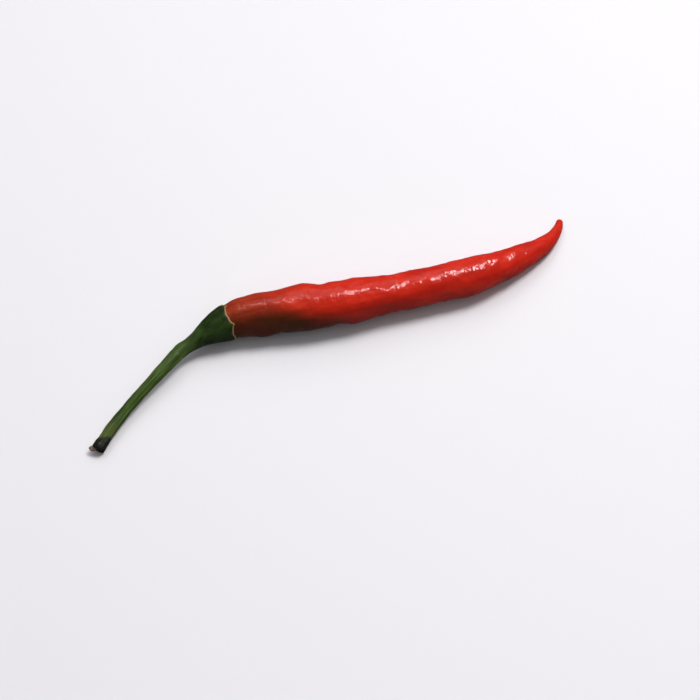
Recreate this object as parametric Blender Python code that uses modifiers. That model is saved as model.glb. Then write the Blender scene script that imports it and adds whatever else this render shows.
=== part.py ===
"""A fresh red chilli pepper, as picked, lying on its side on a flat surface.

The chilli is a slender pod, a green calyx that cups the pod's shoulder, and a stem that bends away from
the calyx. Each is turned about X from a profile, and then bent along one shared spine, so all three keep
their fit however the spine bends. Metres, +Z up: the surface is z = 0, the origin is on it under the
middle of the chilli, and the chilli runs along X with its tip at +X.
"""

import math

import bmesh
import bpy
from mathutils import Matrix, Vector

MM = 0.001

# Lengths along the bend, from the stem's free end to the pod's tip.
STEM_LENGTH = 28.4 * MM
CALYX_LENGTH = 13.0 * MM
POD_LENGTH = 83.1 * MM

# Radii.
STEM_END_RADIUS = 1.34 * MM
STEM_WAIST_RADIUS = 1.14 * MM
STEM_NECK_RADIUS = 1.61 * MM
CALYX_RIM_RADIUS = 4.08 * MM
POD_BELLY_RADIUS = 5.00 * MM
POD_TIP_RADIUS = 0.78 * MM

# The calyx is a cup with a thin wall, and its rim has five low teeth.
CALYX_WALL = 0.40 * MM
TOOTH_COUNT = 5
TOOTH_ANGLE = -43.0  # degrees from straight up towards +Y, where the first tooth is
TOOTH_LENGTH = 0.70 * MM
TOOTH_ROOT_DEPTH = 2.50 * MM
SHOULDER_DEPTH = 4.60 * MM  # how far the pod's shoulder reaches into the cup

# The stem's free end is bevelled, with a grain of torn bark on its corner.
STEM_END_BEVEL = 0.48 * MM
BARK_RADIUS = 0.60 * MM
BARK_LENGTH = 1.70 * MM
BARK_ANGLE = 142.0  # degrees from +X, the way that the grain points in plan

# Touching pieces keep this gap.
GAP = 0.30 * MM

# How finely the shapes are divided.
SPINE_STEP = 0.5 * MM
POD_RING_STEP = 2.2 * MM
CALYX_RING_STEP = 1.2 * MM
STEM_RING_STEP = 1.3 * MM
POD_SIDES = 36
CALYX_SIDES = 8 * TOOTH_COUNT
STEM_SIDES = 20
SHOULDER_RINGS = 8
TIP_RINGS = 5

RIM_AT = STEM_LENGTH + CALYX_LENGTH
TIP_AT = RIM_AT + POD_LENGTH

# The spine's heading in plan, in degrees from +X, at shares of each piece's length.
STEM_HEADINGS = [(0.0, 38), (0.19, 34), (0.38, 27), (0.59, 26), (0.96, 25)]
CALYX_HEADINGS = [(0.15, 15), (0.45, 7.5), (0.90, -1)]
POD_HEADINGS = [
    (0.03, -8),
    (0.09, -18),
    (0.21, -16.5),
    (0.43, -12),
    (0.55, -10.5),
    (0.65, -6),
    (0.74, 2),
    (0.81, 6.5),
    (0.87, 14),
    (0.92, 26),
    (0.96, 39),
    (1.0, 60),
]

# How high the underside is above the surface, at shares of the pieces' lengths. The stem's free end,
# the pod's belly and the tip are down on it.
STEM_CLEARANCES = [(0.0, 0.0), (0.35, 1.0 * MM), (0.75, 1.9 * MM)]
CALYX_CLEARANCES = [(0.20, 1.7 * MM), (0.80, 0.65 * MM)]
POD_CLEARANCES = [
    (0.05, 0.15 * MM),
    (0.12, 0.0),
    (0.20, 0.0),
    (0.28, 0.0),
    (0.36, 0.3 * MM),
    (0.46, 0.6 * MM),
    (0.60, 0.75 * MM),
    (0.72, 0.6 * MM),
    (0.84, 0.3 * MM),
    (0.94, 0.0),
    (1.0, 0.0),
]

# The stem's radius goes from its waist's to its free end's, and to its neck's, by these shares.
TOWARDS_STEM_END = [(0.0, 1.0), (0.12, 0.60), (0.24, 0.35), (0.36, 0.0)]
TOWARDS_STEM_NECK = [(0.56, 0.10), (0.70, 0.34), (0.85, 0.66), (1.0, 1.0)]

# The calyx's radius goes from the neck's to the rim's by these shares.
CALYX_FLARE = [
    (0.0, 0.0),
    (0.12, 0.05),
    (0.28, 0.165),
    (0.43, 0.325),
    (0.58, 0.53),
    (0.74, 0.775),
    (0.88, 0.96),
    (1.0, 1.0),
]

# The pod's radius as a share of its belly's, up to where its tip rounds off.
POD_SHAPE = [
    (0.02, 0.855),
    (0.055, 0.905),
    (0.11, 0.965),
    (0.17, 0.990),
    (0.25, 1.000),
    (0.32, 0.975),
    (0.38, 0.900),
    (0.44, 0.850),
    (0.52, 0.833),
    (0.60, 0.822),
    (0.66, 0.810),
    (0.72, 0.740),
    (0.78, 0.645),
    (0.84, 0.525),
    (0.90, 0.392),
    (0.94, 0.285),
]

SKIN_RED = (0.58, 0.020, 0.010)
CALYX_GREEN = (0.020, 0.060, 0.012)
STEM_GREEN = (0.055, 0.115, 0.025)
WAXY_ROUGHNESS = 0.22
MATT_ROUGHNESS = 0.55


def value_at(points, at):
    """The value there of a smooth curve through (place, value) points, level beyond both ends."""
    if at <= points[0][0]:
        return points[0][1]
    if at >= points[-1][0]:
        return points[-1][1]
    last = next(i for i, (place, _) in enumerate(points) if place > at)
    first = last - 1

    def slope(i):
        before, after = max(i - 1, 0), min(i + 1, len(points) - 1)
        return (points[after][1] - points[before][1]) / (points[after][0] - points[before][0])

    span = points[last][0] - points[first][0]
    t = (at - points[first][0]) / span
    return (
        points[first][1] * (1 + 2 * t) * (1 - t) ** 2
        + slope(first) * span * t * (1 - t) ** 2
        + points[last][1] * t * t * (3 - 2 * t)
        - slope(last) * span * t * t * (1 - t)
    )


def between(shares, start, length, low, high):
    """(share of length, share of the way from low to high) as (distance along the spine, value)."""
    return [(start + share * length, low + part * (high - low)) for share, part in shares]


def along_chilli(stem_points, calyx_points, pod_points):
    """The three pieces' (share, value) points as one list of (distance along the spine, value)."""
    return (
        [(share * STEM_LENGTH, value) for share, value in stem_points]
        + [(STEM_LENGTH + share * CALYX_LENGTH, value) for share, value in calyx_points]
        + [(RIM_AT + share * POD_LENGTH, value) for share, value in pod_points]
    )


def stem_radius(at):
    """It swells a little at its free end, and more where it meets the calyx."""
    points = between(TOWARDS_STEM_END, 0.0, STEM_LENGTH, STEM_WAIST_RADIUS, STEM_END_RADIUS)
    points += between(TOWARDS_STEM_NECK, 0.0, STEM_LENGTH, STEM_WAIST_RADIUS, STEM_NECK_RADIUS)
    return value_at(points, at)


def calyx_radius(at):
    """The outside of the cup, from the stem's neck to the rim."""
    return value_at(between(CALYX_FLARE, STEM_LENGTH, CALYX_LENGTH, STEM_NECK_RADIUS, CALYX_RIM_RADIUS), at)


def pod_rim_radius():
    """The pod where it leaves the cup."""
    return CALYX_RIM_RADIUS - CALYX_WALL - GAP


def pod_radius(at):
    """The pod outside the cup, up to where its tip rounds off."""
    points = [(RIM_AT, pod_rim_radius())]
    points += between(POD_SHAPE, RIM_AT, POD_LENGTH, 0.0, POD_BELLY_RADIUS)
    points.append((TIP_AT - POD_TIP_RADIUS, POD_TIP_RADIUS))
    return value_at(points, at)


def outer_radius(at):
    """The chilli's outside, whichever piece shows there."""
    if at < STEM_LENGTH:
        return stem_radius(at)
    return calyx_radius(at) if at < RIM_AT else pod_radius(at)


def spine_points():
    """The bent centre line, from the stem's free end to the tip. Each step goes along the heading there.
    It is as high as the chilli's radius and the clearance under it, at each place that has a clearance."""
    headings = along_chilli(STEM_HEADINGS, CALYX_HEADINGS, POD_HEADINGS)
    clearances = along_chilli(STEM_CLEARANCES, CALYX_CLEARANCES, POD_CLEARANCES)
    heights = [(at, outer_radius(at) + clearance) for at, clearance in clearances]
    steps = math.ceil(TIP_AT / SPINE_STEP)
    step = TIP_AT / steps
    points = []
    x = y = 0.0
    for i in range(steps + 1):
        at = i * step
        points.append(Vector((x, y, value_at(heights, at))))
        heading = math.radians(value_at(headings, at + step / 2))
        x += step * math.cos(heading)
        y += step * math.sin(heading)
    return points


def as_helper(thing, frame, helpers):
    """A guide or a cutter, which isn't a piece of the chilli."""
    thing.parent = frame
    thing.hide_render = True
    thing.display_type = "WIRE"
    helpers.objects.link(thing)


def spine_curve():
    """The guide that the pieces are bent along."""
    points = spine_points()
    curve = bpy.data.curves.new("spine", "CURVE")
    curve.dimensions = "3D"
    curve.twist_mode = "Z_UP"
    spline = curve.splines.new("POLY")
    spline.points.add(len(points) - 1)
    for place, point in zip(spline.points, points):
        place.co = (*point, 1.0)
    return bpy.data.objects.new("spine", curve)


def torn_bark():
    """The grain on the corner of the stem's free end, a stretched ball that the stem is joined with."""
    angle = math.radians(BARK_ANGLE)
    stretch = Matrix.Diagonal((BARK_LENGTH / (2 * BARK_RADIUS), 1, 1, 1))
    turn = Matrix.Rotation(angle, 4, "Z")
    ball = bmesh.new()
    bmesh.ops.create_uvsphere(ball, u_segments=12, v_segments=8, radius=BARK_RADIUS, matrix=turn @ stretch)
    mesh = bpy.data.meshes.new("torn_bark")
    ball.to_mesh(mesh)
    ball.free()
    grain = bpy.data.objects.new("torn_bark", mesh)
    grain.location = spine_points()[0] + STEM_END_RADIUS * Vector((math.cos(angle), math.sin(angle), 0.0))
    return grain


def finish(name, colour, roughness):
    """A material of one colour."""
    material = bpy.data.materials.new(name)
    material.use_nodes = True
    shader = material.node_tree.nodes["Principled BSDF"]
    shader.inputs["Base Color"].default_value = (*colour, 1.0)
    shader.inputs["Roughness"].default_value = roughness
    return material


def turned_piece(name, profile, sides, material, parts):
    """A solid turned about X. The profile is (distance along the spine, radius) points, from +X to -X
    outside, and from -X to +X where it turns back inside."""
    mesh = bpy.data.meshes.new(name)
    edges = [(i, i + 1) for i in range(len(profile) - 1)]
    mesh.from_pydata([(at, 0.0, radius) for at, radius in profile], edges, [])
    mesh.materials.append(material)
    piece = bpy.data.objects.new(name, mesh)
    turn = piece.modifiers.new("Turn", "SCREW")
    turn.axis = "X"
    turn.steps = turn.render_steps = sides
    turn.use_smooth_shade = True
    turn.use_merge_vertices = True
    turn.merge_threshold = 0.00001
    parts.objects.link(piece)
    return piece


def bend(piece, spine):
    """Bends a turned piece along the spine."""
    modifier = piece.modifiers.new("Bend", "CURVE")
    modifier.object = spine
    modifier.deform_axis = "POS_X"


def stations(start, end, step):
    """Places from start to end, about a step apart."""
    count = max(1, round((end - start) / step))
    return [start + (end - start) * i / count for i in range(count + 1)]


def dome(centre, radius, length, way, rings):
    """The quarter ellipse that closes a profile, from its widest point to the axis. way is +1 towards
    +X and -1 towards -X."""
    angles = [math.pi / 2 * i / rings for i in range(1, rings + 1)]
    return [(centre + way * length * math.sin(a), radius * math.cos(a)) for a in angles]


def pod(spine, parts):
    """The fruit, from its tip back to the shoulder in the cup."""
    tip_centre = TIP_AT - POD_TIP_RADIUS
    tip = dome(tip_centre, POD_TIP_RADIUS, POD_TIP_RADIUS, 1, TIP_RINGS)
    skin = [(at, pod_radius(at)) for at in stations(RIM_AT, tip_centre, POD_RING_STEP)]
    shoulder = dome(RIM_AT, pod_rim_radius(), SHOULDER_DEPTH, -1, SHOULDER_RINGS)
    profile = tip[::-1] + skin[::-1] + shoulder
    red_skin = finish("waxy_red_skin", SKIN_RED, WAXY_ROUGHNESS)
    piece = turned_piece("pod", profile, POD_SIDES, red_skin, parts)
    bend(piece, spine)
    return piece


def tooth_share(angle):
    """1 at a tooth's point and 0 midway between two teeth."""
    turn = ((angle - math.radians(TOOTH_ANGLE)) / math.tau * TOOTH_COUNT) % 1.0
    return abs(2 * turn - 1)


def calyx(spine, parts):
    """The cup. Its inside follows the pod's shoulder at the gap, and its rim dips between the teeth."""
    neck_at = STEM_LENGTH + GAP
    cavity_radius = pod_rim_radius() + GAP
    inside = dome(RIM_AT, cavity_radius, SHOULDER_DEPTH + GAP, -1, SHOULDER_RINGS)
    outside = [(at, calyx_radius(at)) for at in stations(neck_at, RIM_AT, CALYX_RING_STEP)]
    profile = inside[::-1] + [(RIM_AT, cavity_radius)] + outside[::-1] + [(neck_at, 0.0)]
    green = finish("calyx_green", CALYX_GREEN, MATT_ROUGHNESS)
    piece = turned_piece("calyx", profile, CALYX_SIDES, green, parts)

    # The turned cup becomes a mesh, so that its rim can be moved into teeth before it is bent.
    cup = bpy.data.meshes.new_from_object(piece.evaluated_get(bpy.context.evaluated_depsgraph_get()))
    piece.modifiers.clear()
    piece.data = cup
    for vertex in cup.vertices:
        x, y, z = vertex.co
        near_rim = min(1.0, max(0.0, 1 - (RIM_AT - x) / TOOTH_ROOT_DEPTH))
        if math.hypot(y, z) > pod_rim_radius():
            vertex.co.x -= TOOTH_LENGTH * near_rim * (1 - tooth_share(math.atan2(y, z)))
    bend(piece, spine)
    return piece


def stem(spine, bark, parts):
    """The rod from the calyx's neck to its bevelled free end, joined with the torn bark."""
    rod = [(at, stem_radius(at)) for at in stations(STEM_END_BEVEL, STEM_LENGTH, STEM_RING_STEP)]
    free_end = [(0.0, STEM_END_RADIUS - STEM_END_BEVEL), (0.0, 0.0)]
    profile = [(STEM_LENGTH, 0.0)] + rod[::-1] + free_end
    green = finish("stem_green", STEM_GREEN, MATT_ROUGHNESS)
    piece = turned_piece("stem", profile, STEM_SIDES, green, parts)
    bend(piece, spine)
    join = piece.modifiers.new("Bark", "BOOLEAN")
    join.operation = "UNION"
    join.object = bark
    return piece


def stand_on_origin(frame, pieces):
    """Moves the frame so that the chilli's box stands on the origin."""
    bpy.context.view_layer.update()
    graph = bpy.context.evaluated_depsgraph_get()
    corners = []
    for piece in pieces:
        shape = piece.evaluated_get(graph)
        corners += [shape.matrix_world @ vertex.co for vertex in shape.to_mesh().vertices]
        shape.to_mesh_clear()
    low = Vector(map(min, *corners))
    high = Vector(map(max, *corners))
    frame.location -= Vector(((low.x + high.x) / 2, (low.y + high.y) / 2, low.z))


def main():
    for old in list(bpy.data.objects):
        bpy.data.objects.remove(old)
    parts = bpy.data.collections.new("chilli_pepper")
    helpers = bpy.data.collections.new("helpers")
    bpy.context.scene.collection.children.link(parts)
    bpy.context.scene.collection.children.link(helpers)

    frame = bpy.data.objects.new("chilli_frame", None)
    helpers.objects.link(frame)
    spine = spine_curve()
    bark = torn_bark()
    as_helper(spine, frame, helpers)
    as_helper(bark, frame, helpers)
    pieces = [pod(spine, parts), calyx(spine, parts), stem(spine, bark, parts)]
    for piece in pieces:
        piece.parent = frame
    stand_on_origin(frame, pieces)


main()
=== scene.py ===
"""The looks of a fresh red chilli pepper: waxy pod, toothed green calyx, ribbed stem and its torn bark.

Every piece is swept along the spine that the solids are bent along. Lengths are in metres, and a place
along the spine is its distance from the stem's free end. A place around it is an angle from straight up,
positive towards +Y.
"""

import math

import bmesh
import bpy
import numpy as np
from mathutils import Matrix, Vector, noise


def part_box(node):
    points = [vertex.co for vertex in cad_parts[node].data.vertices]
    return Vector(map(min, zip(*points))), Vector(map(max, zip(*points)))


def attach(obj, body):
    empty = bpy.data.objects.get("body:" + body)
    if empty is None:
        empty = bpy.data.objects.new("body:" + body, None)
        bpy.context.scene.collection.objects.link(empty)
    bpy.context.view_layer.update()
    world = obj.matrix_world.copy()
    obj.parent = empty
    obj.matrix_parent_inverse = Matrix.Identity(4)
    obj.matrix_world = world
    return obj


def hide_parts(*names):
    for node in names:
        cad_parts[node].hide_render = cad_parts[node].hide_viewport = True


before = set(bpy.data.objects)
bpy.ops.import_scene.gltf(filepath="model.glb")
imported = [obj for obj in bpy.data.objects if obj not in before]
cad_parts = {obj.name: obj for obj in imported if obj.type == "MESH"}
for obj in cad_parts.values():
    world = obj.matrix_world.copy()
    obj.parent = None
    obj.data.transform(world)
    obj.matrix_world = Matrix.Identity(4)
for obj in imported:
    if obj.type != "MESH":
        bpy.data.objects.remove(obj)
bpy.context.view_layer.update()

MM = 0.001

# The solids' own sizes, along the spine and around it.
STEM_LENGTH = 28.4 * MM
CALYX_LENGTH = 13.0 * MM
POD_LENGTH = 83.1 * MM
STEM_END_RADIUS = 1.34 * MM
STEM_WAIST_RADIUS = 1.14 * MM
STEM_NECK_RADIUS = 1.61 * MM
CALYX_RIM_RADIUS = 4.08 * MM
POD_SOLID_RIM_RADIUS = 3.38 * MM
POD_BELLY_RADIUS = 5.00 * MM
POD_TIP_RADIUS = 0.78 * MM
RIM_AT = STEM_LENGTH + CALYX_LENGTH
TIP_AT = RIM_AT + POD_LENGTH

# The spine's heading in plan, in degrees from +X, at shares of each piece's length.
STEM_HEADINGS = [(0.0, 38), (0.19, 34), (0.38, 27), (0.59, 26), (0.96, 25)]
CALYX_HEADINGS = [(0.15, 15), (0.45, 7.5), (0.90, -1)]
POD_HEADINGS = [
    (0.03, -8),
    (0.09, -18),
    (0.21, -16.5),
    (0.43, -12),
    (0.55, -10.5),
    (0.65, -6),
    (0.74, 2),
    (0.81, 6.5),
    (0.87, 14),
    (0.92, 26),
    (0.96, 39),
    (1.0, 60),
]

# How high the underside is above the surface, at shares of the pieces' lengths.
STEM_CLEARANCES = [(0.0, 0.0), (0.35, 1.0 * MM), (0.75, 1.9 * MM)]
CALYX_CLEARANCES = [(0.20, 1.7 * MM), (0.80, 0.65 * MM)]
POD_CLEARANCES = [
    (0.05, 0.15 * MM),
    (0.12, 0.0),
    (0.20, 0.0),
    (0.28, 0.0),
    (0.36, 0.3 * MM),
    (0.46, 0.6 * MM),
    (0.60, 0.75 * MM),
    (0.72, 0.6 * MM),
    (0.84, 0.3 * MM),
    (0.94, 0.0),
    (1.0, 0.0),
]

# Radii, as shares of the way between two sizes, at shares of a piece's length.
TOWARDS_STEM_END = [(0.0, 1.0), (0.12, 0.60), (0.24, 0.35), (0.36, 0.0)]
TOWARDS_STEM_NECK = [(0.56, 0.10), (0.70, 0.34), (0.85, 0.66), (1.0, 1.0)]
CALYX_FLARE = [
    (0.0, 0.0),
    (0.12, 0.05),
    (0.28, 0.165),
    (0.43, 0.325),
    (0.58, 0.53),
    (0.74, 0.775),
    (0.88, 0.96),
    (1.0, 1.0),
]
POD_SHAPE = [
    (0.02, 0.855),
    (0.055, 0.905),
    (0.11, 0.965),
    (0.17, 0.990),
    (0.25, 1.000),
    (0.32, 0.975),
    (0.38, 0.900),
    (0.44, 0.850),
    (0.52, 0.833),
    (0.60, 0.822),
    (0.66, 0.810),
    (0.72, 0.740),
    (0.78, 0.645),
    (0.84, 0.525),
    (0.90, 0.392),
    (0.94, 0.285),
]

# The skin meets the calyx closer than the solid pod does, which keeps a gap to it.
SKIN_RIM_RADIUS = 3.84 * MM

# How far the pod's shoulder reaches into the calyx, and how thick the calyx's edge is.
SHOULDER_DEPTH = 4.6 * MM
CALYX_EDGE = 0.26 * MM

# Lumps in the pod: distance from the rim in mm, angle around, height in mm (a dip where it is below
# zero), half length in mm and half width in degrees.
LUMPS = [
    (6.9, -116, 0.50, 2.8, 40),
    (10.6, -112, -0.22, 1.7, 34),
    (9.6, 60, -0.26, 2.4, 36),
    (16.2, 58, 0.42, 2.9, 38),
    (20.6, 60, -0.34, 1.8, 34),
    (13.6, -20, 0.16, 1.2, 10),
    (34.2, -23, 0.24, 1.3, 12),
    (23.6, -118, -0.46, 2.3, 36),
    (26.2, -114, 0.22, 1.9, 34),
    (29.6, 56, 0.22, 2.6, 34),
    (33.8, -34, 0.20, 1.9, 24),
    (36.2, -116, -0.26, 2.4, 36),
    (40.2, 10, -0.14, 2.5, 24),
    (45.6, -28, 0.14, 2.8, 24),
    (53.2, -118, 0.36, 3.6, 38),
    (61.4, 44, -0.14, 2.6, 30),
    (66.8, -10, -0.10, 2.2, 24),
]

# The pod's uneven skin: the size of its bumps in mm, their height in mm, and a place in the noise that
# the others don't use.
POD_BUMPS = [
    (6.5, 0.12, (0.0, 0.0, 0.0)),
    (2.6, 0.15, (9.0, 0.0, 0.0)),
    (1.1, 0.07, (0.0, 31.0, 0.0)),
]

# The ripe side's colours, at shares of the pod's length.
RIPE_REDS = [
    (0.0, "#9C361A"),
    (0.05, "#A8351A"),
    (0.11, "#C0341A"),
    (0.22, "#D42E16"),
    (0.5, "#D02814"),
    (0.8, "#D42A18"),
]

# The middle of the side that stayed unripe and gets painted shade, in degrees from straight up.
UNRIPE_AND_SHADED_SIDE = -117

# The calyx's teeth, and the middle of one of them in degrees from straight up.
TOOTH_COUNT = 5
TOOTH_ANGLE = -43.0

# The calyx's relief in mm: broad ribs that run out into the teeth, fine ribs between them, and
# unevenness. Then how far in mm its rim draws back between the teeth: evenly, sharply beside each tip,
# and raggedly.
CALYX_RIB = 0.09
CALYX_FINE_RIB = 0.05
CALYX_UNEVENNESS = 0.07
RIM_SLOPE = 0.32
RIM_STEP = 0.55
RIM_RAGGEDNESS = 0.14

# The tips' half width in degrees, and how far from the rim the calyx starts to change towards it.
TIP_WIDTH = 5.0
RIM_DEPTH = 2.4 * MM

# The stem's ribs, and its relief in mm: ribs, fine ribs, unevenness, and the dried end's shrivelling.
STEM_RIBS = 6
STEM_RIB = 0.06
STEM_FINE_RIB = 0.05
STEM_UNEVENNESS = 0.10
STEM_SHRIVELLING = 0.18

# The stem's greens, which the calyx takes up at its neck: between its fibres, and along them.
NECK_GREENS = [(0.34, "#34481A"), (0.52, "#41581E"), (0.72, "#5A7230")]

# The calyx starts this far along the stem before the neck, this far under the stem's skin.
NECK_BLEND = 1.6 * MM
NECK_SINK = 0.10 * MM

# One side of the calyx is hollow where it widens. The numbers are those of a dip in LUMPS, but with
# the distance from the stem's free end.
CALYX_HOLLOW = (32.0, 66, -0.50, 3.0, 45)

# The torn bark: half its thickness, its length, and its heading in plan in degrees from +X.
BARK_RADIUS = 0.60 * MM
BARK_LENGTH = 1.45 * MM
BARK_HEADING = 142.0

# How finely the pieces are divided: sides around, and the distance from ring to ring.
POD_SIDES = 192
POD_STEP = 0.25 * MM
CALYX_SIDES = 180
STEM_SIDES = 96
GREEN_STEP = 0.2 * MM

# A colour Mix node's inputs, and its output.
MIX_SHARE = 0
MIX_FIRST = 6
MIX_SECOND = 7
MIX_RESULT = 2

# Half of the floor's side, in metres.
FLOOR_HALF = 4.0

# The camera: degrees round from -Y towards +X, degrees above the surface, metres away, its lens in
# millimetres, and the point that it looks at.
CAMERA_TURN = -25.5
CAMERA_RISE = 60.0
CAMERA_DISTANCE = 0.36
CAMERA_LENS = 84.14
LOOK_AT = Vector((1.06, -9.38, 0.0)) * MM


def value_at(points, at):
    """The value there of a smooth curve through (place, value) points, level beyond both ends."""
    if at <= points[0][0]:
        return points[0][1]
    if at >= points[-1][0]:
        return points[-1][1]
    last = next(i for i, (place, _) in enumerate(points) if place > at)
    first = last - 1

    def slope(i):
        before, after = max(i - 1, 0), min(i + 1, len(points) - 1)
        return (points[after][1] - points[before][1]) / (points[after][0] - points[before][0])

    span = points[last][0] - points[first][0]
    t = (at - points[first][0]) / span
    return (
        points[first][1] * (1 + 2 * t) * (1 - t) ** 2
        + slope(first) * span * t * (1 - t) ** 2
        + points[last][1] * t * t * (3 - 2 * t)
        - slope(last) * span * t * t * (1 - t)
    )


def between(shares, start, length, low, high):
    """(share of length, share of the way from low to high) as (distance along the spine, value)."""
    return [(start + share * length, low + part * (high - low)) for share, part in shares]


def along_chilli(stem_points, calyx_points, pod_points):
    """The three pieces' (share, value) points as one list of (distance along the spine, value)."""
    return (
        [(share * STEM_LENGTH, value) for share, value in stem_points]
        + [(STEM_LENGTH + share * CALYX_LENGTH, value) for share, value in calyx_points]
        + [(RIM_AT + share * POD_LENGTH, value) for share, value in pod_points]
    )


def smooth(low, high, value):
    """0 below low, 1 above high, and smooth between them."""
    t = min(1.0, max(0.0, (value - low) / (high - low)))
    return t * t * (3 - 2 * t)


def angle_between(a, b):
    """The angle in degrees from b to a, from -180 to 180."""
    return (a - b + 180) % 360 - 180


def stem_radius(at):
    points = between(TOWARDS_STEM_END, 0.0, STEM_LENGTH, STEM_WAIST_RADIUS, STEM_END_RADIUS)
    points += between(TOWARDS_STEM_NECK, 0.0, STEM_LENGTH, STEM_WAIST_RADIUS, STEM_NECK_RADIUS)
    return value_at(points, at)


def calyx_radius(at):
    points = between(CALYX_FLARE, STEM_LENGTH, CALYX_LENGTH, STEM_NECK_RADIUS, CALYX_RIM_RADIUS)
    return value_at(points, at)


def pod_radius(at, rim_radius):
    points = [(RIM_AT, rim_radius)]
    points += between(POD_SHAPE, RIM_AT, POD_LENGTH, 0.0, POD_BELLY_RADIUS)
    points.append((TIP_AT - POD_TIP_RADIUS, POD_TIP_RADIUS))
    return value_at(points, at)


def solid_radius(at):
    if at < STEM_LENGTH:
        return stem_radius(at)
    return calyx_radius(at) if at < RIM_AT else pod_radius(at, POD_SOLID_RIM_RADIUS)


class Spine:
    """The bent centre line, finely divided, with a direction at each point."""

    STEP = 0.25 * MM

    def __init__(self):
        headings = along_chilli(STEM_HEADINGS, CALYX_HEADINGS, POD_HEADINGS)
        clearances = along_chilli(STEM_CLEARANCES, CALYX_CLEARANCES, POD_CLEARANCES)
        heights = [(at, solid_radius(at) + clearance) for at, clearance in clearances]
        count = math.ceil(TIP_AT / self.STEP)
        self.places = np.linspace(0.0, TIP_AT, count + 1)
        step = TIP_AT / count
        points = []
        x = y = 0.0
        for at in self.places:
            points.append((x, y, value_at(heights, at)))
            heading = math.radians(value_at(headings, at + step / 2))
            x += step * math.cos(heading)
            y += step * math.sin(heading)
        self.points = np.array(points)
        self.ways = np.gradient(self.points, self.places, axis=0)

    def bend(self, straight):
        """Where points of the unbent chilli, (place, across to the left, rise), are on the bent one."""
        place = straight[:, 0]
        inside = np.clip(place, 0.0, TIP_AT)
        centre = np.stack([np.interp(inside, self.places, self.points[:, i]) for i in range(3)], axis=1)
        way = np.stack([np.interp(inside, self.places, self.ways[:, i]) for i in range(3)], axis=1)
        way /= np.linalg.norm(way, axis=1)[:, None]
        left = np.cross((0.0, 0.0, 1.0), way)
        left /= np.linalg.norm(left, axis=1)[:, None]
        up = np.cross(way, left)
        return centre + way * (place - inside)[:, None] + left * straight[:, 1:2] + up * straight[:, 2:3]

    def move_onto(self, low, high):
        """Moves the line so that a plain pod on it fills the solid pod's box."""
        plain = []
        dome_at = TIP_AT - POD_TIP_RADIUS
        rings = [(at, pod_radius(at, POD_SOLID_RIM_RADIUS)) for at in stations(RIM_AT, dome_at, 0.5 * MM)]
        rings += dome(dome_at, POD_TIP_RADIUS, POD_TIP_RADIUS, 1, 8)
        for place, radius in rings:
            for angle in np.radians(range(0, 360, 5)):
                plain.append((place, radius * math.sin(angle), radius * math.cos(angle)))
        bent = self.bend(np.array(plain))
        plain_low, plain_high = bent.min(axis=0), bent.max(axis=0)
        self.points += (
            high[0] - plain_high[0],
            (low[1] + high[1] - plain_low[1] - plain_high[1]) / 2,
            (low[2] + high[2] - plain_low[2] - plain_high[2]) / 2,
        )


def stations(start, end, step):
    """Places from start to end, about a step apart."""
    count = max(1, round(abs(end - start) / step))
    return [start + (end - start) * i / count for i in range(count + 1)]


def dome(centre, radius, length, way, rings):
    """(place, radius) rings of the quarter ellipse that closes a profile, down to a small last ring."""
    angles = [math.pi / 2 * i / (rings + 0.4) for i in range(1, rings + 1)]
    return [(centre + way * length * math.sin(a), radius * math.cos(a)) for a in angles]


def swept(name, profile, sides, sculpt):
    """A closed piece along the spine. The profile is (place, radius) rings from -X to +X, outside first.
    sculpt gives the place and the radius that a ring's point at an angle is moved to. The attribute
    "straight" keeps where each point is on the unbent chilli, for the patterns in the materials."""
    angles = [360 * i / sides for i in range(sides)]
    plain = []
    moved = []
    for place, radius in profile:
        for angle in angles:
            sine, cosine = math.sin(math.radians(angle)), math.cos(math.radians(angle))
            plain.append((place, radius * sine, radius * cosine))
            new_place, new_radius = sculpt(place, radius, angle)
            moved.append((new_place, new_radius * sine, new_radius * cosine))
    faces = []
    for i in range(len(profile) - 1):
        for j in range(sides):
            k = (j + 1) % sides
            faces.append((i * sides + j, (i + 1) * sides + j, (i + 1) * sides + k, i * sides + k))
    last = (len(profile) - 1) * sides
    for first in (0, last):
        middle = len(plain)
        plain.append(tuple(np.mean(plain[first : first + sides], axis=0)))
        moved.append(tuple(np.mean(moved[first : first + sides], axis=0)))
        for j in range(sides):
            k = (j + 1) % sides
            faces.append((middle, first + j, first + k) if first == 0 else (middle, first + k, first + j))
    mesh = bpy.data.meshes.new(name)
    places = spine.bend(np.array(moved))
    places[:, 2] = settle(places[:, 2])
    mesh.from_pydata(places.tolist(), [], faces)
    kept = mesh.attributes.new("straight", "FLOAT_VECTOR", "POINT")
    kept.data.foreach_set("vector", np.array(plain, dtype=np.float32).ravel())
    mesh.shade_smooth()
    mesh.update()
    piece = bpy.data.objects.new(name, mesh)
    bpy.context.scene.collection.objects.link(piece)
    return piece


def settle(height):
    """Soft skin flattens a little where it is down on the surface, and never goes below it."""
    give = 0.12 * MM
    return np.where(height > give, height, give * np.exp(np.minimum(height - give, 0.0) / give))


def on_chilli(place, radius, angle):
    """A point of the unbent chilli in millimetres, for noise that has no seam around it."""
    a = math.radians(angle)
    return Vector((place, radius * math.sin(a), radius * math.cos(a))) / MM


def lump_height(lump, along, angle):
    """How far one lump or dip stands out there, in mm."""
    centre, turn, height, half_length, half_width = lump
    away = (along - centre) / half_length
    round_away = angle_between(angle, turn) / half_width
    return height * math.exp(-(away**2) - round_away**2)


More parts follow.
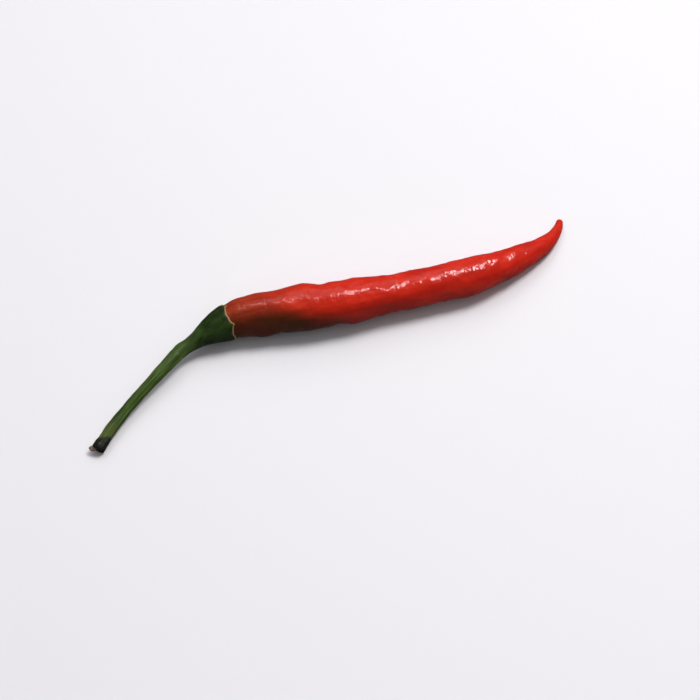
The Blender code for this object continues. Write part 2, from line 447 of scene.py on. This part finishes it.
def pod_sculpt(place, radius, angle):
    """The fruit's lumps and its skin's low bumps, which run out at the calyx and at the tip."""
    along = (place - RIM_AT) / MM
    if along < 0:
        return place, radius
    # A lump farther off than three half lengths adds too little to see.
    near = [lump for lump in LUMPS if abs(along - lump[0]) < 3 * lump[3]]
    stands = sum(lump_height(lump, along, angle) for lump in near)
    point = on_chilli(place, radius, angle)
    stands += sum(height * noise.noise(point / size + Vector(start)) for size, height, start in POD_BUMPS)
    fade = smooth(0.3, 4.0, along) * min(1.0, radius / (3.0 * MM))
    return place, radius + stands * fade * MM


def pod_skin():
    tip_centre = TIP_AT - POD_TIP_RADIUS
    shoulder = dome(RIM_AT, SKIN_RIM_RADIUS, SHOULDER_DEPTH, -1, 8)
    skin = [(at, pod_radius(at, SKIN_RIM_RADIUS)) for at in stations(RIM_AT, tip_centre, POD_STEP)]
    tip = dome(tip_centre, POD_TIP_RADIUS, POD_TIP_RADIUS, 1, 9)
    return swept("pod_skin", shoulder[::-1] + skin + tip, POD_SIDES, pod_sculpt)


def nearest_tooth(angle):
    """How far an angle is from the nearest tooth's middle, in degrees."""
    between_teeth = 360 / TOOTH_COUNT
    turn = (angle - TOOTH_ANGLE) % between_teeth
    return min(turn, between_teeth - turn)


def calyx_sculpt(place, radius, angle):
    """Ribs that run out into the teeth, fine ribs between them, one hollow side, and an uneven rim. The
    relief grows from the neck on. A noise's place is divided by the size of its patches in mm."""
    share = (place - STEM_LENGTH) / CALYX_LENGTH
    away = nearest_tooth(angle)
    point = on_chilli(place, radius, angle)
    near_rim = smooth(RIM_AT - RIM_DEPTH, RIM_AT, place)
    rib = CALYX_RIB * math.cos(math.radians(away * TOOTH_COUNT)) * smooth(0.1, 0.7, share)
    fine_rib = CALYX_FINE_RIB * noise.noise(Vector((point.x / 7.0, point.y / 0.75, point.z / 0.75)))
    uneven = CALYX_UNEVENNESS * noise.noise(point / 2.2)
    stands = rib + fine_rib * smooth(0.0, 0.2, share) + uneven * smooth(0.0, 0.4, share)
    stands *= 1 - 0.7 * near_rim
    stands += lump_height(CALYX_HOLLOW, point.x, angle) * smooth(0.0, 0.15, share)
    slope = RIM_SLOPE * away / (180 / TOOTH_COUNT)
    step = RIM_STEP * (1 - math.exp(-away / TIP_WIDTH))
    ragged = RIM_RAGGEDNESS * noise.noise(Vector((7.0, point.y / 1.1, point.z / 1.1)))
    return place - (slope + step + ragged) * near_rim * MM, radius + stands * MM


def calyx_cup():
    """It starts a little under the stem's skin, and comes out of it at the neck. Its edge is rounded, and
    its inside narrows a little as far as it shows."""
    neck_at = STEM_LENGTH - NECK_BLEND
    outside = []
    for at in stations(neck_at, STEM_LENGTH, GREEN_STEP)[:-1]:
        outside.append((at, stem_radius(at) - NECK_SINK * (1 - smooth(neck_at, STEM_LENGTH, at))))
    outside += [(at, calyx_radius(at)) for at in stations(STEM_LENGTH, RIM_AT, GREEN_STEP)]
    edge_radius = CALYX_EDGE / 2
    edge_centre = CALYX_RIM_RADIUS - edge_radius
    lip = [
        (RIM_AT + edge_radius * math.sin(a), edge_centre + edge_radius * math.cos(a))
        for a in np.radians((30, 60, 90, 120, 150))
    ]
    inside_radius = CALYX_RIM_RADIUS - CALYX_EDGE
    depths = [0.1 * MM, 0.5 * MM, 1.0 * MM, 1.6 * MM]
    inside = [(RIM_AT - depth, inside_radius - 0.03 * depth) for depth in depths]
    return swept("calyx_cup", outside + lip + inside, CALYX_SIDES, calyx_sculpt)


def stem_sculpt(place, radius, angle):
    """Ribs that turn slowly along the stem and run out at the neck, and a shrivelled free end. A noise's
    place is divided by the size of its patches in mm."""
    point = on_chilli(place, radius, angle)
    turn = math.degrees(place / (60 * MM))
    rib = STEM_RIB * math.cos(math.radians(STEM_RIBS * (angle + turn)))
    fine_rib = STEM_FINE_RIB * noise.noise(Vector((point.x / 6.0, point.y / 0.5, point.z / 0.5)))
    uneven = STEM_UNEVENNESS * noise.noise(point / 2.4)
    ribbed = 1 - smooth(STEM_LENGTH - 5.0 * MM, STEM_LENGTH - NECK_BLEND, place)
    dried = 1 - smooth(0.6, 4.0, point.x)
    shrivel = STEM_SHRIVELLING * noise.noise(point / 0.9) * dried
    stands = (rib + fine_rib + uneven) * ribbed + shrivel
    share = min(1.0, radius / (0.8 * MM))
    on_end_face = 1 - smooth(0.0, 0.5, point.x)
    return place - 0.6 * shrivel * on_end_face * MM, radius + stands * share * MM


def stem_stalk():
    """Its free end is slightly dished, and it ends inside the calyx, whose neck has the same radius."""
    free_end = [
        (0.16 * MM, 0.12 * STEM_END_RADIUS),
        (0.13 * MM, 0.34 * STEM_END_RADIUS),
        (0.06 * MM, 0.56 * STEM_END_RADIUS),
        (0.00 * MM, 0.72 * STEM_END_RADIUS),
        (0.05 * MM, 0.84 * STEM_END_RADIUS),
        (0.18 * MM, 0.93 * STEM_END_RADIUS),
        (0.34 * MM, 0.98 * STEM_END_RADIUS),
    ]
    neck_at = STEM_LENGTH - NECK_BLEND
    rod = [(at, stem_radius(at)) for at in stations(0.5 * MM, neck_at, GREEN_STEP)]
    sunk_at = STEM_LENGTH - NECK_BLEND / 2
    root = [
        (sunk_at, stem_radius(sunk_at) - NECK_SINK),
        (STEM_LENGTH, STEM_NECK_RADIUS - 3 * NECK_SINK),
    ]
    return swept("stem_stalk", free_end + rod + root, STEM_SIDES, stem_sculpt)


def torn_bark():
    """The grain on the corner of the stem's free end, where it tore from the plant."""
    mesh = bpy.data.meshes.new("torn_bark")
    ball = bmesh.new()
    bmesh.ops.create_uvsphere(ball, u_segments=40, v_segments=28, radius=1.0)
    # Its faces come in another order each time, so they are sorted.
    ball.verts.index_update()
    ball.faces.sort(key=lambda face: sum(vertex.index**2 for vertex in face.verts))
    heading = math.radians(BARK_HEADING)
    way = Vector((math.cos(heading), math.sin(heading), 0.0))
    side = Vector((-math.sin(heading), math.cos(heading), 0.0))
    end_middle = Vector(spine.bend(np.array([(0.15 * MM, 0.0, 0.0)]))[0])
    centre = end_middle + 0.92 * STEM_END_RADIUS * way
    for vertex in ball.verts:
        c = vertex.co
        rough = 1.1 + 0.16 * noise.noise(c * 1.7) + 0.07 * noise.noise(c * 5.0)
        narrow = 1 - 0.18 * smooth(-1.0, 1.0, c.x)
        vertex.co = (
            centre
            + way * c.x * rough * BARK_LENGTH / 2
            + side * c.y * rough * narrow * BARK_RADIUS
            + Vector((0.0, 0.0, c.z * rough * narrow * BARK_RADIUS))
        )
    ball.to_mesh(mesh)
    ball.free()
    mesh.shade_smooth()
    piece = bpy.data.objects.new("torn_bark", mesh)
    bpy.context.scene.collection.objects.link(piece)
    return piece


def linear(colour):
    """A hex sRGB colour as linear red, green, blue and 1."""
    parts = [int(colour[i : i + 2], 16) / 255 for i in (1, 3, 5)]
    return (*[c / 12.92 if c <= 0.04045 else ((c + 0.055) / 1.055) ** 2.4 for c in parts], 1.0)


def add(tree, kind, links=None, stops=(), **settings):
    """A node with its settings. links gives each input, by name or number, a socket or a value, and
    stops gives a Color Ramp its (position, colour) pairs."""
    node = tree.nodes.new(kind)
    for name, value in settings.items():
        setattr(node, name, value)
    for name, value in (links or {}).items():
        if isinstance(value, bpy.types.NodeSocket):
            tree.links.new(value, node.inputs[name])
        else:
            node.inputs[name].default_value = value
    for i, (position, colour) in enumerate(stops):
        marks = node.color_ramp.elements
        mark = marks[i] if i < 2 else marks.new(position)
        mark.position = position
        mark.color = linear(colour)
    return node


def new_material(name):
    """(the material, its tree, its shader, the socket of the unbent place in millimetres)."""
    material = bpy.data.materials.new(name)
    material.use_nodes = True
    tree = material.node_tree
    straight = add(tree, "ShaderNodeAttribute", attribute_name="straight").outputs["Vector"]
    place = add(tree, "ShaderNodeVectorMath", {0: straight, "Scale": 1 / MM}, operation="SCALE")
    return material, tree, tree.nodes["Principled BSDF"], place.outputs[0]


def patches(long, wide):
    """The mapping that makes a noise's patches that many mm long and wide."""
    return (1 / long, 1 / wide, 1 / wide)


def waxy_chilli_skin():
    """Ripe chilli skin: clear wax over red flesh, so it shines like lacquer, in short broken streaks."""
    material, tree, shader, place = new_material("waxy_chilli_skin")
    parts = add(tree, "ShaderNodeSeparateXYZ", {0: place})
    along = add(tree, "ShaderNodeMath", {0: parts.outputs[0], 1: RIM_AT / MM}, operation="SUBTRACT")

    # Fine streaks along the pod, and clouds. Each pattern has its own location in the noise.
    spot = add(
        tree,
        "ShaderNodeMapping",
        {"Vector": place, "Scale": patches(9.0, 0.9), "Location": (5, 5, 5)},
    )
    streaks = add(tree, "ShaderNodeTexNoise", {"Vector": spot.outputs[0], "Scale": 1.0, "Detail": 4.0})
    spot = add(
        tree,
        "ShaderNodeMapping",
        {"Vector": place, "Scale": patches(6.0, 3.0), "Location": (11, 11, 11)},
    )
    clouds = add(tree, "ShaderNodeTexNoise", {"Vector": spot.outputs[0], "Scale": 1.0, "Detail": 3.0})

    # How far a point faces the side that stayed unripe and gets painted shade: 1 in its middle, -1 opposite.
    around = add(tree, "ShaderNodeVectorMath", {0: place, 1: (0, 1, 1)}, operation="MULTIPLY")
    out = add(tree, "ShaderNodeVectorMath", {0: around.outputs[0]}, operation="NORMALIZE")
    side = math.radians(UNRIPE_AND_SHADED_SIDE)
    middle = (0, math.sin(side), math.cos(side))
    facing = add(tree, "ShaderNodeVectorMath", {0: out.outputs[0], 1: middle}, operation="DOT_PRODUCT")

    # That side's dark part is half of the pod at the calyx, and from 31 mm along only a trace is left
    # in its middle. Its edge is ragged.
    limit = add(
        tree,
        "ShaderNodeMapRange",
        {"Value": along.outputs[0], "From Min": 7.0, "From Max": 31.0, "To Min": -0.10, "To Max": 1.10},
        interpolation_type="SMOOTHSTEP",
    )
    inside = add(
        tree,
        "ShaderNodeMath",
        {0: facing.outputs["Value"], 1: limit.outputs[0]},
        operation="SUBTRACT",
    )
    blotch = add(tree, "ShaderNodeMath", {0: streaks.outputs[0], 1: clouds.outputs[0]}, operation="ADD")
    ragged = add(
        tree,
        "ShaderNodeMath",
        {0: blotch.outputs[0], 1: 0.45, 2: inside.outputs[0]},
        operation="MULTIPLY_ADD",
    )
    unripe = add(
        tree,
        "ShaderNodeMapRange",
        {"Value": ragged.outputs[0], "From Min": 0.0, "From Max": 0.95},
        interpolation_type="SMOOTHSTEP",
    )

    # From the calyx on, the ripe side goes from rust to full red in 18 mm, and then hardly changes. The
    # clouds and the streaks make it a little deeper in places.
    ripening = add(tree, "ShaderNodeMath", {0: along.outputs[0], 1: MM / POD_LENGTH}, operation="MULTIPLY")
    red = add(tree, "ShaderNodeValToRGB", {0: ripening.outputs[0]}, stops=RIPE_REDS)
    deep = add(
        tree,
        "ShaderNodeValToRGB",
        {0: clouds.outputs[0]},
        stops=[(0.34, "#FFFFFF"), (0.66, "#E6CAC6")],
    )
    fine = add(
        tree,
        "ShaderNodeValToRGB",
        {0: streaks.outputs[0]},
        stops=[(0.40, "#FFFFFF"), (0.70, "#EEDED8")],
    )
    red = add(
        tree,
        "ShaderNodeMix",
        {MIX_SHARE: 1.0, MIX_FIRST: red.outputs[0], MIX_SECOND: deep.outputs[0]},
        data_type="RGBA",
        blend_type="MULTIPLY",
    )
    red = add(
        tree,
        "ShaderNodeMix",
        {MIX_SHARE: 1.0, MIX_FIRST: red.outputs[MIX_RESULT], MIX_SECOND: fine.outputs[0]},
        data_type="RGBA",
        blend_type="MULTIPLY",
    )

    # Painted shade: on the unripe side the red is made darker, less and less until 65 mm along.
    fading = add(
        tree,
        "ShaderNodeMapRange",
        {"Value": along.outputs[0], "From Min": 65.0, "From Max": 20.0, "To Min": 0.0, "To Max": 0.6},
    )
    turned = add(
        tree,
        "ShaderNodeMapRange",
        {"Value": facing.outputs["Value"], "From Min": 0.0, "From Max": 0.9},
        interpolation_type="SMOOTHSTEP",
    )
    shade = add(tree, "ShaderNodeMath", {0: fading.outputs[0], 1: turned.outputs[0]}, operation="MULTIPLY")
    red = add(
        tree,
        "ShaderNodeMix",
        {MIX_SHARE: shade.outputs[0], MIX_FIRST: red.outputs[MIX_RESULT], MIX_SECOND: linear("#7E1008")},
        data_type="RGBA",
    )
    dark = add(
        tree,
        "ShaderNodeValToRGB",
        {0: clouds.outputs[0]},
        stops=[(0.35, "#521D0A"), (0.65, "#4C260C")],
    )
    skin = add(
        tree,
        "ShaderNodeMix",
        {MIX_SHARE: unripe.outputs[0], MIX_FIRST: red.outputs[MIX_RESULT], MIX_SECOND: dark.outputs[0]},
        data_type="RGBA",
    )
    tree.links.new(skin.outputs[MIX_RESULT], shader.inputs["Base Color"])

    # The flesh under the wax is soft and dull. The wax is the coat, and glossy.
    shader.inputs["IOR"].default_value = 1.45
    shader.inputs["Specular IOR Level"].default_value = 0.15
    shader.inputs["Roughness"].default_value = 0.38
    shader.inputs["Coat Weight"].default_value = 0.75
    shader.inputs["Coat Roughness"].default_value = 0.11
    shader.inputs["Coat IOR"].default_value = 1.45
    shader.inputs["Subsurface Weight"].default_value = 0.06
    shader.inputs["Subsurface Radius"].default_value = (1.2 * MM, 0.3 * MM, 0.2 * MM)
    shader.inputs["Subsurface Scale"].default_value = 1.0

    # Ripples across the skin, 0.5 mm apart, and its cells, which are drawn 0.6 to 0.9 mm in size so that
    # they show. The real ones are 0.05 mm.
    spot = add(
        tree,
        "ShaderNodeMapping",
        {"Vector": place, "Scale": patches(0.5, 1.2), "Location": (3, 3, 3)},
    )
    ripples = add(tree, "ShaderNodeTexNoise", {"Vector": spot.outputs[0], "Scale": 1.0, "Detail": 1.0})
    spot = add(
        tree,
        "ShaderNodeMapping",
        {"Vector": place, "Scale": patches(0.9, 0.6), "Location": (17, 17, 17)},
    )
    cells = add(tree, "ShaderNodeTexNoise", {"Vector": spot.outputs[0], "Scale": 1.0, "Detail": 2.0})
    relief = add(
        tree,
        "ShaderNodeMath",
        {0: cells.outputs[0], 1: 0.5, 2: ripples.outputs[0]},
        operation="MULTIPLY_ADD",
    )
    bump = add(tree, "ShaderNodeBump", {"Height": relief.outputs[0], "Strength": 1.0, "Distance": 0.1 * MM})
    tree.links.new(bump.outputs[0], shader.inputs["Normal"])
    tree.links.new(bump.outputs[0], shader.inputs["Coat Normal"])
    return material


def calyx_leaf():
    """Calyx: thick leaf tissue with a satin cuticle, so it is dark and soft, with a dry pale rim."""
    material, tree, shader, place = new_material("calyx_leaf")
    parts = add(tree, "ShaderNodeSeparateXYZ", {0: place})
    along = add(tree, "ShaderNodeMath", {0: parts.outputs[0], 1: STEM_LENGTH / MM}, operation="SUBTRACT")
    spot = add(
        tree,
        "ShaderNodeMapping",
        {"Vector": place, "Scale": patches(6.0, 0.5), "Location": (2, 2, 2)},
    )
    veins = add(tree, "ShaderNodeTexNoise", {"Vector": spot.outputs[0], "Scale": 1.0, "Detail": 3.0})
    spot = add(
        tree,
        "ShaderNodeMapping",
        {"Vector": place, "Scale": patches(3.5, 1.8), "Location": (8, 8, 8)},
    )
    clouds = add(tree, "ShaderNodeTexNoise", {"Vector": spot.outputs[0], "Scale": 1.0, "Detail": 3.0})
    spot = add(
        tree,
        "ShaderNodeMapping",
        {"Vector": place, "Scale": patches(0.35, 0.30), "Location": (21, 21, 21)},
    )
    flecks = add(tree, "ShaderNodeTexNoise", {"Vector": spot.outputs[0], "Scale": 1.0, "Detail": 1.0})

    # It takes up the stem's greens at its neck. Lighter veins and pale flecks lie over the dark tissue.
    dark = add(
        tree,
        "ShaderNodeValToRGB",
        {0: clouds.outputs[0]},
        stops=[(0.36, "#162407"), (0.66, "#2D4413")],
    )
    young = add(tree, "ShaderNodeValToRGB", {0: veins.outputs[0]}, stops=NECK_GREENS)
    neck = add(
        tree,
        "ShaderNodeMapRange",
        {"Value": along.outputs[0], "From Min": 5.0, "From Max": -1.0},
        interpolation_type="SMOOTHSTEP",
    )
    leaf = add(
        tree,
        "ShaderNodeMix",
        {MIX_SHARE: neck.outputs[0], MIX_FIRST: dark.outputs[0], MIX_SECOND: young.outputs[0]},
        data_type="RGBA",
    )
    vein = add(
        tree,
        "ShaderNodeMapRange",
        {"Value": veins.outputs[0], "From Min": 0.52, "From Max": 0.75, "To Min": 0.0, "To Max": 0.5},
    )
    leaf = add(
        tree,
        "ShaderNodeMix",
        {MIX_SHARE: vein.outputs[0], MIX_FIRST: leaf.outputs[MIX_RESULT], MIX_SECOND: linear("#3C5420")},
        data_type="RGBA",
    )
    fleck = add(
        tree,
        "ShaderNodeMapRange",
        {"Value": flecks.outputs[0], "From Min": 0.70, "From Max": 0.80, "To Min": 0.0, "To Max": 0.35},
    )
    leaf = add(
        tree,
        "ShaderNodeMix",
        {MIX_SHARE: fleck.outputs[0], MIX_FIRST: leaf.outputs[MIX_RESULT], MIX_SECOND: linear("#6C7C4C")},
        data_type="RGBA",
    )

    # The rim is a dry line, about 0.25 mm wide.
    ragged = add(
        tree,
        "ShaderNodeMath",
        {0: clouds.outputs[0], 1: 0.5, 2: along.outputs[0]},
        operation="MULTIPLY_ADD",
    )
    edge = CALYX_LENGTH / MM
    rim = add(
        tree,
        "ShaderNodeMapRange",
        {"Value": ragged.outputs[0], "From Min": edge - 0.06, "From Max": edge + 0.12, "To Max": 0.85},
    )
    leaf = add(
        tree,
        "ShaderNodeMix",
        {MIX_SHARE: rim.outputs[0], MIX_FIRST: leaf.outputs[MIX_RESULT], MIX_SECOND: linear("#9A8050")},
        data_type="RGBA",
    )
    tree.links.new(leaf.outputs[MIX_RESULT], shader.inputs["Base Color"])

    # The cuticle is satin, duller in clouds, and its veins stand out a little.
    shader.inputs["IOR"].default_value = 1.45
    shader.inputs["Specular IOR Level"].default_value = 0.35
    dullness = add(
        tree,
        "ShaderNodeMapRange",
        {"Value": clouds.outputs[0], "From Min": 0.3, "From Max": 0.7, "To Min": 0.38, "To Max": 0.55},
    )
    tree.links.new(dullness.outputs[0], shader.inputs["Roughness"])
    relief = add(
        tree,
        "ShaderNodeMath",
        {0: flecks.outputs[0], 1: 0.4, 2: veins.outputs[0]},
        operation="MULTIPLY_ADD",
    )
    bump = add(tree, "ShaderNodeBump", {"Height": relief.outputs[0], "Strength": 0.6, "Distance": 0.1 * MM})
    tree.links.new(bump.outputs[0], shader.inputs["Normal"])
    return material


def stalk_rind():
    """Stalk: green ribbed rind, satin and lighter along its fibres, and black where it dried."""
    material, tree, shader, place = new_material("stalk_rind")
    spot = add(
        tree,
        "ShaderNodeMapping",
        {"Vector": place, "Scale": patches(6.0, 0.35), "Location": (4, 4, 4)},
    )
    fibres = add(tree, "ShaderNodeTexNoise", {"Vector": spot.outputs[0], "Scale": 1.0, "Detail": 3.0})
    spot = add(
        tree,
        "ShaderNodeMapping",
        {"Vector": place, "Scale": patches(4.0, 1.2), "Location": (13, 13, 13)},
    )
    clouds = add(tree, "ShaderNodeTexNoise", {"Vector": spot.outputs[0], "Scale": 1.0, "Detail": 2.0})
    green = add(tree, "ShaderNodeValToRGB", {0: fibres.outputs[0]}, stops=NECK_GREENS)
    patch = add(
        tree,
        "ShaderNodeValToRGB",
        {0: clouds.outputs[0]},
        stops=[(0.35, "#C8C8A8"), (0.65, "#FFFFFF")],
    )
    rind = add(
        tree,
        "ShaderNodeMix",
        {MIX_SHARE: 0.8, MIX_FIRST: green.outputs[0], MIX_SECOND: patch.outputs[0]},
        data_type="RGBA",
        blend_type="MULTIPLY",
    )

    # The last millimetres before the free end dried: first olive, then black, with a slanting edge.
    slant = add(tree, "ShaderNodeVectorMath", {0: place, 1: (1.0, 0.35, 0.30)}, operation="DOT_PRODUCT")
    ragged = add(
        tree,
        "ShaderNodeMath",
        {0: clouds.outputs[0], 1: 1.4, 2: slant.outputs["Value"]},
        operation="MULTIPLY_ADD",
    )
    olive = add(
        tree,
        "ShaderNodeMapRange",
        {"Value": ragged.outputs[0], "From Min": 9.0, "From Max": 4.5, "To Min": 0.0, "To Max": 0.7},
    )
    rind = add(
        tree,
        "ShaderNodeMix",
        {MIX_SHARE: olive.outputs[0], MIX_FIRST: rind.outputs[MIX_RESULT], MIX_SECOND: linear("#56622A")},
        data_type="RGBA",
    )
    black = add(
        tree,
        "ShaderNodeMapRange",
        {"Value": ragged.outputs[0], "From Min": 4.3, "From Max": 3.5},
        interpolation_type="SMOOTHSTEP",
    )
    rind = add(
        tree,
        "ShaderNodeMix",
        {MIX_SHARE: black.outputs[0], MIX_FIRST: rind.outputs[MIX_RESULT], MIX_SECOND: linear("#1C1D14")},
        data_type="RGBA",
    )
    tree.links.new(rind.outputs[MIX_RESULT], shader.inputs["Base Color"])

    # The rind is satin, duller along its fibres, which stand out a little.
    shader.inputs["IOR"].default_value = 1.45
    shader.inputs["Specular IOR Level"].default_value = 0.35
    dullness = add(
        tree,
        "ShaderNodeMapRange",
        {"Value": fibres.outputs[0], "From Min": 0.3, "From Max": 0.7, "To Min": 0.40, "To Max": 0.55},
    )
    tree.links.new(dullness.outputs[0], shader.inputs["Roughness"])
    bump = add(tree, "ShaderNodeBump", {"Height": fibres.outputs[0], "Strength": 0.7, "Distance": 0.1 * MM})
    tree.links.new(bump.outputs[0], shader.inputs["Normal"])
    return material


def torn_dry_bark():
    """Torn bark: dry fibre, so it is grey-brown and quite matt."""
    material = bpy.data.materials.new("torn_dry_bark")
    material.use_nodes = True
    tree = material.node_tree
    shader = tree.nodes["Principled BSDF"]
    metres = add(tree, "ShaderNodeTexCoord").outputs["Object"]
    place = add(tree, "ShaderNodeVectorMath", {0: metres, "Scale": 1 / MM}, operation="SCALE")
    spot = add(tree, "ShaderNodeMapping", {"Vector": place.outputs[0], "Scale": patches(0.5, 0.16)})
    fibres = add(tree, "ShaderNodeTexNoise", {"Vector": spot.outputs[0], "Scale": 1.0, "Detail": 3.0})
    brown = add(
        tree,
        "ShaderNodeValToRGB",
        {0: fibres.outputs[0]},
        stops=[(0.35, "#5A4C40"), (0.65, "#93826F")],
    )
    tree.links.new(brown.outputs[0], shader.inputs["Base Color"])
    shader.inputs["Roughness"].default_value = 0.8
    bump = add(tree, "ShaderNodeBump", {"Height": fibres.outputs[0], "Strength": 0.8, "Distance": 0.12 * MM})
    tree.links.new(bump.outputs[0], shader.inputs["Normal"])
    return material


def white_floor():
    """A matt white board, wide enough for low views. It doesn't show in the chilli's gloss."""
    corners = [
        (-FLOOR_HALF, -FLOOR_HALF, 0),
        (FLOOR_HALF, -FLOOR_HALF, 0),
        (FLOOR_HALF, FLOOR_HALF, 0),
        (-FLOOR_HALF, FLOOR_HALF, 0),
    ]
    mesh = bpy.data.meshes.new("floor")
    mesh.from_pydata(corners, [], [(0, 1, 2, 3)])
    floor = bpy.data.objects.new("floor", mesh)
    bpy.context.scene.collection.objects.link(floor)
    material = bpy.data.materials.new("matt_white_board")
    material.use_nodes = True
    shader = material.node_tree.nodes["Principled BSDF"]
    shader.inputs["Base Color"].default_value = linear("#E6E4E8")
    shader.inputs["Roughness"].default_value = 0.75
    mesh.materials.append(material)
    floor.visible_glossy = False


def towards(turn, rise):
    """The direction turn degrees round from -Y towards +X, and rise degrees above the surface."""
    turn, rise = math.radians(turn), math.radians(rise)
    return Vector((math.sin(turn) * math.cos(rise), -math.cos(turn) * math.cos(rise), math.sin(rise)))


def lamp(name, way, distance, size, brightness, mirrored=True):
    """A soft lamp of (width, depth) that far away, aimed at the chilli. Its brightness counts a white
    board in full light as 1. It doesn't show in the skin's gloss unless it is mirrored."""
    light = bpy.data.lights.new(name, "AREA")
    light.shape = "RECTANGLE"
    light.size, light.size_y = size
    light.energy = brightness * math.pi * size[0] * size[1]
    thing = bpy.data.objects.new(name, light)
    thing.location = distance * way
    thing.rotation_euler = (-way).to_track_quat("-Z", "Y").to_euler()
    thing.visible_glossy = mirrored
    bpy.context.scene.collection.objects.link(thing)


def studio():
    """Three lamps make the highlights: a long broken streak, small spots nearer the calyx, and a faint
    band along the upper side. The soft box and the ceiling only light the scene."""
    world = bpy.data.worlds.new("studio")
    bpy.context.scene.world = world
    world.use_nodes = True
    world.node_tree.nodes["Background"].inputs["Color"].default_value = linear("#FBFAFF")
    world.node_tree.nodes["Background"].inputs["Strength"].default_value = 0.045
    lamp("main_lamp", towards(106, 61), 0.8, (0.24, 0.22), 25.0)
    lamp("small_lamp", towards(178, 62), 0.8, (0.06, 0.16), 16.0)
    lamp("broad_lamp", towards(160, 44), 1.0, (0.50, 0.30), 0.9)
    lamp("soft_box", towards(162, 54), 3.0, (4.5, 3.5), 0.64, mirrored=False)
    lamp("ceiling", towards(0, 90), 3.0, (9.0, 9.0), 0.36, mirrored=False)
    white_floor()
    # Colours show as they are, with no film curve.
    bpy.context.scene.view_settings.view_transform = "Standard"


def camera_above():
    data = bpy.data.cameras.new("camera")
    data.lens = CAMERA_LENS
    data.clip_start = 0.01
    camera = bpy.data.objects.new("camera", data)
    way = towards(CAMERA_TURN, CAMERA_RISE)
    camera.location = LOOK_AT + CAMERA_DISTANCE * way
    camera.rotation_euler = (-way).to_track_quat("-Z", "Y").to_euler()
    bpy.context.scene.collection.objects.link(camera)
    bpy.context.scene.camera = camera


def stand_for(piece, node, material):
    """Gives a piece its material, hangs it on the root body, and hides the solid that it stands in for."""
    piece.data.materials.append(material)
    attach(piece, "root")
    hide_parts(node)


spine = Spine()
spine.move_onto(*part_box("pod"))
camera_above()
studio()
stand_for(pod_skin(), "pod", waxy_chilli_skin())
stand_for(calyx_cup(), "calyx", calyx_leaf())
stand_for(stem_stalk(), "stem", stalk_rind())
stand_for(torn_bark(), "stem", torn_dry_bark())
